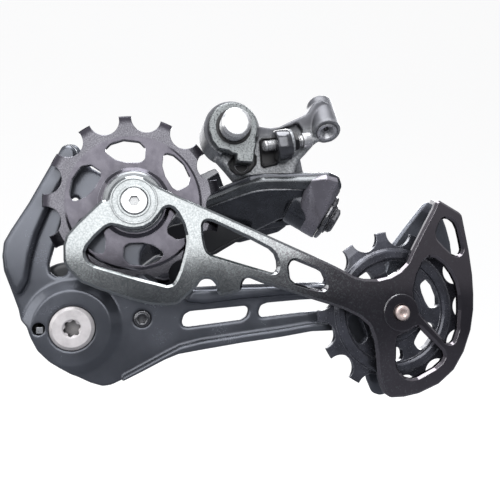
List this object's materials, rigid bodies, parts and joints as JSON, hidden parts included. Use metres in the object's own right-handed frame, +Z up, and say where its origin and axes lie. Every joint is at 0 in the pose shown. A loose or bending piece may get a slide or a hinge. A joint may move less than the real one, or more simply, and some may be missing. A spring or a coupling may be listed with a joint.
{
  "type": "rear bicycle derailleur",
  "caption": "Long-cage rear bicycle derailleur: slant parallelogram, damped cage pivot, B-tension stop and toothed guide and tension pulleys.",
  "frame": {"origin": "on the mounting bolt's axis where it meets the hanger, in the front face of the stop plate", "axes": "+X rearward, +Y outboard away from the wheel along the mounting bolt, +Z up"},
  "size_m": [0.1557, 0.0758, 0.1098],
  "materials": {
    "bright_steel": "bright plated",
    "cast_steel": "dark phosphated, slightly rough",
    "grey_paint": "matte grey paint on cast alloy",
    "bronze": "plain bearing bronze",
    "black_steel": "black oxide",
    "pin_steel": "ground",
    "spring_steel": "oiled",
    "black_paint": "gloss black paint",
    "seal_rubber": "matte",
    "black_plastic": "fine moulded texture",
    "dark_alloy": "anodised",
    "blue_grey_paint": "satin blue-grey paint on pressed alloy",
    "graphite_plate": "blasted and dyed graphite",
    "cap_steel": "pressed, satin",
    "pulley_resin": "filled acetal, satin",
    "pulley_gloss": "blue-black moulded resin"
  },
  "bodies": {
    "hanger_side": {"mounting_bolt": "bright_steel", "stop_plate": "cast_steel"},
    "bracket": {"bracket": "grey_paint", "bracket_bush": "bronze", "cable_stop_liner": "bright_steel", "limit_screws": "black_steel", "rear_link_pins": "pin_steel"},
    "b_screw": {"b_tension_screw": "bright_steel"},
    "inner_link": {"inner_link": "black_paint", "cable_clamp_plate": "pin_steel", "cable_clamp_bolt": "pin_steel"},
    "outer_link": {"outer_link": "black_paint", "link_spring": "spring_steel"},
    "knuckle": {"knuckle": "grey_paint", "knuckle_seal": "seal_rubber", "damper_cover": "black_plastic", "cover_screws": "black_steel", "front_link_pins": "pin_steel", "one_way_clutch": "spring_steel", "friction_band": "spring_steel"},
    "damper_lever": {"damper_lever": "dark_alloy"},
    "cage": {"outer_cage_plate": "blue_grey_paint", "inner_cage_plate": "graphite_plate", "cage_axle": "pin_steel", "cage_axle_bolt": "bright_steel", "cage_spring": "spring_steel", "spring_tail": "bright_steel", "stopper_screw": "black_steel", "guide_pulley_bolt": "bright_steel", "tension_pulley_bolt": "bright_steel", "guide_bush_inner": "pin_steel", "guide_dust_caps": "cap_steel", "tension_bearing_inner": "spring_steel", "tension_bearing_balls": "spring_steel", "tension_dust_caps": "cap_steel"},
    "guide_pulley": {"guide_pulley": "pulley_resin", "guide_bush_outer": "pin_steel"},
    "tension_pulley": {"tension_pulley": "pulley_gloss", "tension_bearing_outer": "spring_steel"}
  },
  "joints": [
    {"name": "bracket_swing", "type": "hinge", "parent": "hanger_side", "child": "bracket", "pos_m": [0, 0, 0], "axis": [0, 1, 0], "range_deg": [-6, 10]},
    {"name": "b_screw_feed", "type": "slide", "parent": "bracket", "child": "b_screw", "axis": [-0.9822, 0, -0.188], "range_m": [-0.002, 0.0015]},
    {"name": "shift", "type": "hinge", "parent": "bracket", "child": "outer_link", "pos_m": [0.03034, 0.02125, -0.01321], "axis": [-0.377, -0.6614, 0.6484], "range_deg": [0, 66], "deforming": ["link_spring"]},
    {"name": "inner_link_swing", "type": "hinge", "parent": "bracket", "child": "inner_link", "pos_m": [0.034, 0.013, -0.0195], "axis": [-0.377, -0.6614, 0.6484], "range_deg": [0, 66]},
    {"name": "knuckle_swing", "type": "hinge", "parent": "outer_link", "child": "knuckle", "pos_m": [-0.00991, 0.03775, -0.01978], "axis": [-0.377, -0.6614, 0.6484], "range_deg": [-66, 0]},
    {"name": "cage_swing", "type": "hinge", "parent": "knuckle", "child": "cage", "pos_m": [-0.0517, 0, -0.06665], "axis": [0, 1, 0], "range_deg": [0, 110], "deforming": ["cage_spring"]},
    {"name": "damper_switch", "type": "hinge", "parent": "knuckle", "child": "damper_lever", "pos_m": [-0.0502, 0.035, -0.06965], "axis": [0, 1, 0], "range_deg": [0, 60]},
    {"name": "guide_pulley_spin", "type": "hinge", "parent": "cage", "child": "guide_pulley", "pos_m": [-0.0326, -0.005, -0.0272], "axis": [0, 1, 0], "continuous": true},
    {"name": "tension_pulley_spin", "type": "hinge", "parent": "cage", "child": "tension_pulley", "pos_m": [0.0552, -0.005, -0.0628], "axis": [0, 1, 0], "continuous": true}
  ],
  "couplings": [
    {"joint": "inner_link_swing", "follows": "shift", "ratio": 1},
    {"joint": "knuckle_swing", "follows": "shift", "ratio": -1}
  ]
}
